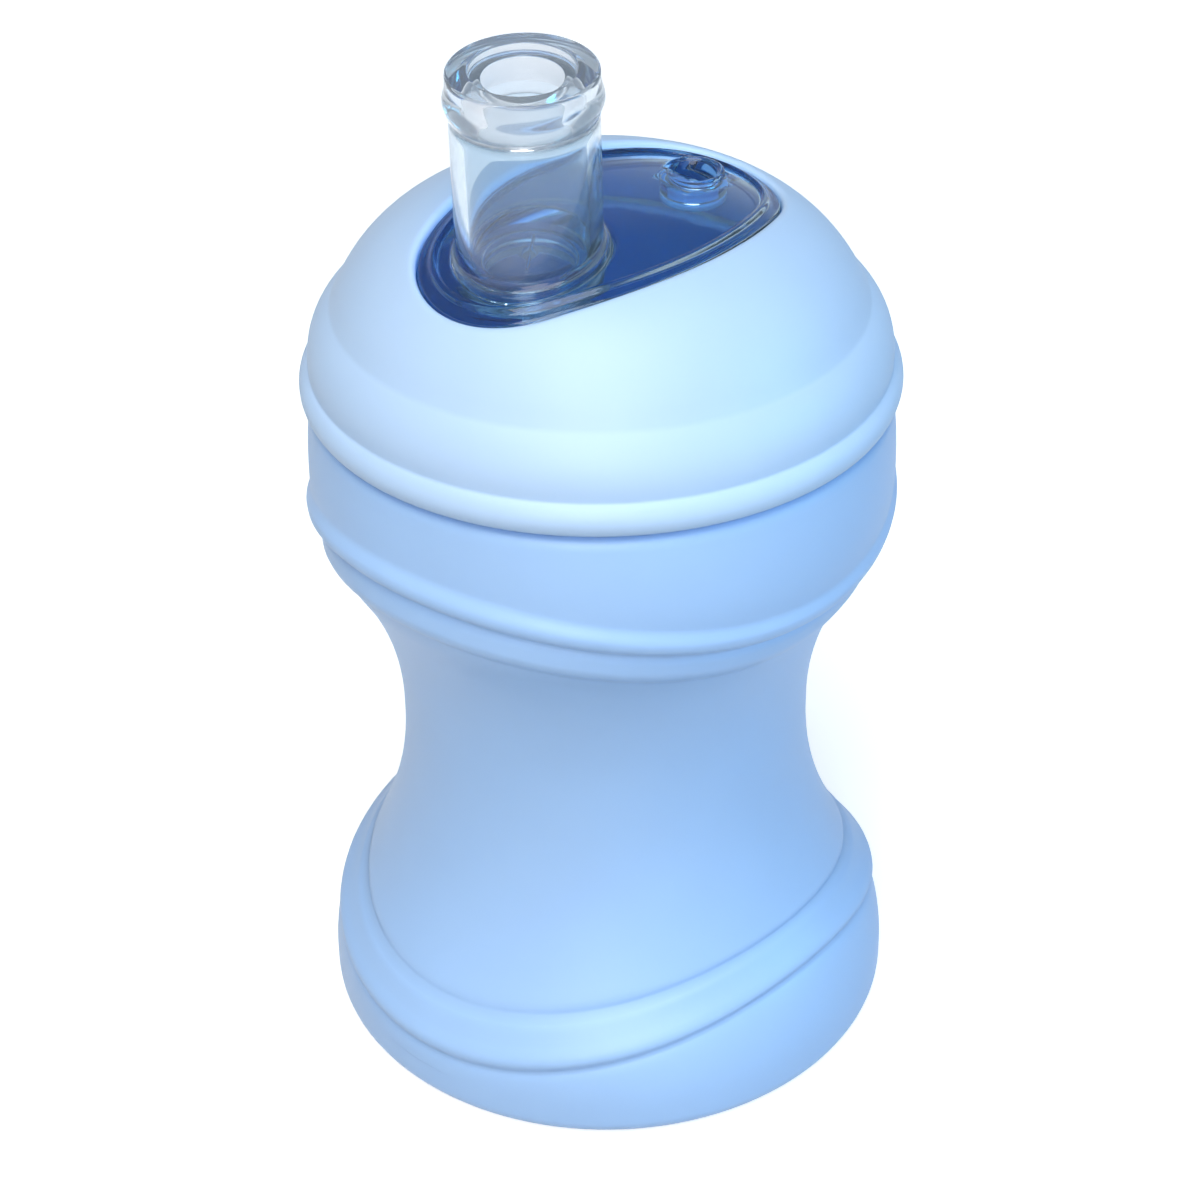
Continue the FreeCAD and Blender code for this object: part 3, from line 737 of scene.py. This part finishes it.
class SIPPY_OT_spout(bpy.types.Operator):
    """Build the clear plate, the drinking spout on it and the vent well"""
    bl_idname = "sippy.spout"
    bl_label = "Soft spout"

    def execute(self, context):
        settings = context.scene.sippy_spout
        lip, fillet = settings.lip_height / MM, settings.foot_fillet / MM
        bead = settings.bead_width / MM

        # the plate's side and the lip round it, by how far in from the opening and how far down
        rings = [egg_ring(0.2, drop) for drop in (FLANGE_TOP, 1.7, 1.15)]
        rings += [egg_ring(*point) for point in ((0.28, 0.9), (0.5, 0.8), (0.95, 0.8), (1.4, 0.82))]
        for width, share in ((0, 0.3), (0.2, 0.85), (0.45, 1), (0.7, 0.85)):
            rings.append(egg_ring(1.65 + width, 0.8 - lip * share))
        rings += [egg_ring(2.6, 0.85), egg_ring(2.8, PLATE_DROP)]

        # the plate's face, the fillet and the tube
        border, foot = egg_ring(3.0, PLATE_DROP), foot_ring(SPOUT_RADIUS + fillet, PLATE_DROP)
        count = 20
        rings += [blended(border, foot, i / count, PLATE_DROP) for i in range(count + 1)]
        tube_from = len(rings) - 1
        for i in range(1, 5):
            bend = math.pi / 2 * i / 5
            reach, rise = fillet * (1 - math.sin(bend)), fillet * (1 - math.cos(bend))
            rings.append(foot_ring(SPOUT_RADIUS + reach, PLATE_DROP - rise))
        tube_foot, tube_top = foot_ring(SPOUT_RADIUS, PLATE_DROP - fillet), 17.2
        rings.append(tube_foot)
        rings += [blended(tube_foot, spout_ring(SPOUT_RADIUS, tube_top), i / 10) for i in range(1, 10)]

        # the drinking end, its mouth, the bore and the socket under the plate
        outline = section([
            (SPOUT_RADIUS, tube_top, 0, 0, 0.8),
            (SPOUT_RADIUS, 17.85, 3.6, 0.3, 0.35),
            (SPOUT_RADIUS + bead, 19.9, 0, 0.5, 0.4),
            (9.25, 21.2, 0, 0.6, 0.4),
            (9.15, 22.92, 0.5, 0, 0.12),
            (8.85, MOUTH_HEIGHT, 0, 0.1, 0.5),
            (6.4, MOUTH_HEIGHT, 0, 0.25, 0.4),
            (6.3, 22.15, 0, 0.25, 0.5),
            (4.9, 22.15, 0, 0.25, 0.8),
            (4.9, 17.25, 0, 0.5, 0.6),
            (BORE_RADIUS, 16.3, 0, 0.7, 1.2),
            (BORE_RADIUS, SOCKET_END, 0, 0, 1.2),
            (SPOUT_RADIUS, SOCKET_END, 0, 0.3, 0.8),
            (SPOUT_RADIUS, -4.0, 0, 0, 0.8),
        ])
        end_from = len(rings) + first_where(outline, lambda radius, height: height > tube_top + 0.2)
        bore_from = len(rings) + first_where(outline, lambda radius, height: radius < 8 and height < 17)
        socket_from = len(rings) + first_where(outline, lambda radius, height: radius < 8 and height < 1)
        rings += [spout_ring(*point) for point in outline]

        # the flange under the lid
        socket_foot, flange_edge = foot_ring(SPOUT_RADIUS, FLANGE_FOOT), egg_ring(-1.9, FLANGE_FOOT)
        rings += [blended(socket_foot, flange_edge, i / 12, FLANGE_FOOT) for i in range(13)]
        rings += [egg_ring(-FLANGE_REACH, 3.3), egg_ring(-FLANGE_REACH, 2.6)]
        rings += [egg_ring(-1.9, FLANGE_TOP), egg_ring(-0.6, FLANGE_TOP)]
        zones = [(tube_from, 1), (end_from, 2), (bore_from, 1), (socket_from, 0)]
        bm = skin(rings, closed=True, zones=zones)

        # the vent well's wall under the plate, and the hole through it
        surface = dome_height(*VENT_PLACE) - PLATE_DROP
        well_foot, rim = PLATE_HEIGHT - WELL_DEPTH, surface + 0.15
        wall = section([
            (0, well_foot, 0, 0, 2),
            (WELL_RADIUS, well_foot, 0, 0.2, 1),
            (WELL_RADIUS, rim, 0, 0.4, 0.4),
            (0, rim, 0, 0, 1),
        ])
        hole_foot, hole_top = PLATE_HEIGHT - 6.6, surface + 0.3
        hole = section([
            (0, hole_foot, 0, 0, 2),
            (3.2, hole_foot, 0, 0, 1),
            (3.2, surface - 0.2, 1.0, 0, 0.15),
            (3.7, hole_top, 0, 0, 1),
            (0, hole_top, 0, 0, 2),
        ])
        bm = combined(bm, turned(wall, SMALL_SEGMENTS, VENT_FRAME), "UNION")
        bm = combined(bm, turned(hole, SMALL_SEGMENTS, VENT_FRAME), "DIFFERENCE")
        plate = clear_silicone(
            "silicone_moulded_clear_plate", settings.plate_colour, clarity=0.985, roughness=0.03)
        tube = clear_silicone(
            "silicone_moulded_clear_tube", settings.tube_colour, clarity=0.95, roughness=0.03)
        end = clear_silicone(
            "silicone_moulded_hazy_end", settings.end_colour, clarity=0.82, roughness=0.03)
        add_piece(bm, "clear_spout", "spout", "soft_spout", "clear_silicone", plate, tube, end)
        return {"FINISHED"}


class SIPPY_OT_valves(bpy.types.Operator):
    """Build the slit valve in the spout's foot and the vent valve in its well"""
    bl_idname = "sippy.valves"
    bl_label = "Valves"

    def execute(self, context):
        settings = context.scene.sippy_spout
        material = clear_silicone(
            "silicone_moulded_thin_clear", settings.valve_colour, clarity=0.985, roughness=0.06)
        # a cup that opens downwards, with a flange under the spout's socket
        under, foot = VALVE_SEAT + 2.3, VALVE_SEAT - 1.2
        over = VALVE_SEAT + 3.4
        plug = section([
            (0, under, 0, 0, 1.5),
            (6.05, under, 0, 0.4, 1.2),
            (6.05, foot, 0, 0.2, 1.5),
            (SPOUT_RADIUS, foot, 0, 0.3, 1.2),
            (SPOUT_RADIUS, VALVE_SEAT, 0, 0.3, 1.0),
            (7.25, VALVE_SEAT, 0, 0.2, 1.2),
            (7.25, over, 0, 0.6, 1.5),
            (0, over, 0, 0, 1.5),
        ])
        bm = turned(plug, SMALL_SEGMENTS, SPOUT_FRAME)
        slit = bmesh.new()
        bmesh.ops.create_cube(slit, size=1)
        bmesh.ops.scale(slit, verts=slit.verts, vec=(7.0, 0.3, 6.0))
        bmesh.ops.transform(slit, verts=slit.verts, matrix=SPOUT_FRAME)
        bm = combined(bm, slit, "DIFFERENCE")
        add_piece(bm, "slit_valve", "spout", "spout_valve", "valve_silicone", material)

        # a disc under the vent well with a soft bill up in it; heights are from the well's foot
        disc = section([
            (0, -0.85, 0, 0, 1.0),
            (WELL_RADIUS, -0.85, 0, 0.2, 1.0),
            (WELL_RADIUS, -0.05, 0, 0.2, 0.8),
            (3.15, -0.05, 0, 0, 0.8),
            (3.15, 1.2, 0, 0.3, 0.8),
            (1.5, 1.2, 0, 0.15, 0.6),
            (0.75, 2.8, 0, 0.2, 0.6),
            (0, 2.8, 0, 0, 0.5),
        ])
        # the disc's colour is darkened as painted shade for the well it sits in
        milky = milky_silicone("silicone_moulded_valve", settings.vent_painted_shade_colour)
        place = VENT_FRAME @ Matrix.Translation((0, 0, PLATE_HEIGHT - WELL_DEPTH))
        body = turned(disc, SMALL_SEGMENTS, place)
        add_piece(body, "vent_disc", "spout", "vent_valve", "valve_silicone", milky)
        return {"FINISHED"}


class SIPPY_OT_stage(bpy.types.Operator):
    """Set out the plain floor, the soft lamps, the pale surroundings and the camera"""
    bl_idname = "sippy.stage"
    bl_label = "Stage"

    def execute(self, context):
        settings = context.scene.sippy_stage
        bm = bmesh.new()
        bmesh.ops.create_circle(bm, cap_ends=True, segments=64, radius=FLOOR_RADIUS)
        mesh = bpy.data.meshes.new("floor")
        bm.to_mesh(mesh)
        bm.free()
        floor = bpy.data.objects.new("floor", mesh)
        context.scene.collection.objects.link(floor)
        paint = new_material("floor_matt_paint")
        # matt paint that glows a little, so that it shows white but throws less than that on the cup
        lit = add_node(
            paint, "ShaderNodeBsdfPrincipled",
            {"Base Color": (*settings.floor_colour, 1), "Roughness": 0.9,
             "Emission Color": (*settings.floor_colour, 1), "Emission Strength": 0.6})
        dull = add_node(paint, "ShaderNodeBsdfDiffuse", {"Color": (0.28, 0.28, 0.28, 1)})
        way = add_node(paint, "ShaderNodeLightPath")
        seen = add_node(
            paint, "ShaderNodeMixShader",
            i0=way.outputs["Is Diffuse Ray"], i1=lit.outputs[0], i2=dull.outputs[0])
        add_node(paint, "ShaderNodeOutputMaterial", Surface=seen.outputs[0])
        mesh.materials.append(paint)

        world = bpy.data.worlds.new("pale_room")
        world.use_nodes = True
        # a grey tent: dim overhead, so that the clear plate stays deep, and paler towards the floor
        way = add_node(world, "ShaderNodeTexCoord").outputs["Generated"]
        height = add_node(world, "ShaderNodeSeparateXYZ", i0=way).outputs[2]
        glow = add_node(world, "ShaderNodeValToRGB", i0=height)
        glow.color_ramp.elements[0].position = 0.2
        glow.color_ramp.elements[0].color = (0.68, 0.72, 0.76, 1)
        glow.color_ramp.elements[1].position = 0.55
        glow.color_ramp.elements[1].color = (0.12, 0.16, 0.22, 1)
        background = world.node_tree.nodes["Background"]
        world.node_tree.links.new(glow.outputs[0], background.inputs["Color"])
        # seen and mirrored at full strength, but less than half of it falls on matt faces
        ray = add_node(world, "ShaderNodeLightPath").outputs["Is Diffuse Ray"]
        strength = add_node(world, "ShaderNodeMapRange", {"To Min": 1.0, "To Max": 0.4}, Value=ray)
        world.node_tree.links.new(strength.outputs[0], background.inputs["Strength"])
        context.scene.world = world

        for name, place, size, share, code in LAMPS:
            lamp = bpy.data.lights.new(name, "AREA")
            lamp.shape = "DISK"
            lamp.size = size
            lamp.energy = settings.key_power * share
            lamp.color = hex_colour(code)
            holder = bpy.data.objects.new(name, lamp)
            holder.location = place
            aim = Vector(LAMPS_AIM) - Vector(place)
            holder.rotation_euler = aim.to_track_quat("-Z", "Y").to_euler()
            context.scene.collection.objects.link(holder)

        camera = bpy.data.cameras.new("camera")
        camera.lens = settings.lens
        camera.sensor_width = 36.0
        camera.shift_x = CAMERA_SHIFT
        camera.clip_start = 0.01
        holder = bpy.data.objects.new("camera", camera)
        tilt = Matrix.Rotation(math.radians(90 - CAMERA_PITCH), 4, "X")
        roll = Matrix.Rotation(CAMERA_ROLL, 4, "Z")
        holder.matrix_world = Matrix.Translation(CAMERA_PLACE) @ tilt @ roll
        context.scene.collection.objects.link(holder)
        context.scene.camera = holder
        context.scene.view_settings.view_transform = "Standard"
        return {"FINISHED"}


class SIPPY_PT_panel(bpy.types.Panel):
    """Lists the cup's sizes, colours and building steps"""
    bl_idname = "SIPPY_PT_panel"
    bl_label = "Sippy Cup"
    bl_space_type = "VIEW_3D"
    bl_region_type = "UI"
    bl_category = "Sippy Cup"

    def draw(self, context):
        for group, operators in GROUPS:
            box = self.layout.box()
            settings = getattr(context.scene, group)
            for name in settings.bl_rna.properties.keys():
                if name not in ("rna_type", "name"):
                    box.prop(settings, name)
            for operator in operators:
                box.operator(operator.bl_idname)


SETTINGS = {
    "sippy_cup": CupSettings,
    "sippy_lid": LidSettings,
    "sippy_spout": SpoutSettings,
    "sippy_stage": StageSettings,
}
GROUPS = [
    ("sippy_cup", [SIPPY_OT_cup]),
    ("sippy_lid", [SIPPY_OT_lid, SIPPY_OT_seal]),
    ("sippy_spout", [SIPPY_OT_spout, SIPPY_OT_valves]),
    ("sippy_stage", [SIPPY_OT_stage]),
]
OPERATORS = [operator for _, operators in GROUPS for operator in operators]
CLASSES = [*SETTINGS.values(), *OPERATORS, SIPPY_PT_panel]


def register():
    """Make the pieces' operators, the settings and the panel known to Blender."""
    for item in CLASSES:
        bpy.utils.register_class(item)
    for name, group in SETTINGS.items():
        setattr(bpy.types.Scene, name, bpy.props.PointerProperty(type=group))


def unregister():
    """Undo what register does."""
    for name in SETTINGS:
        delattr(bpy.types.Scene, name)
    for item in reversed(CLASSES):
        bpy.utils.unregister_class(item)


def main():
    """Build every piece, then set out the stage."""
    register()
    bpy.ops.sippy.cup()
    bpy.ops.sippy.lid()
    bpy.ops.sippy.seal()
    bpy.ops.sippy.spout()
    bpy.ops.sippy.valves()
    bpy.ops.sippy.stage()


if __name__ == "__main__":
    main()
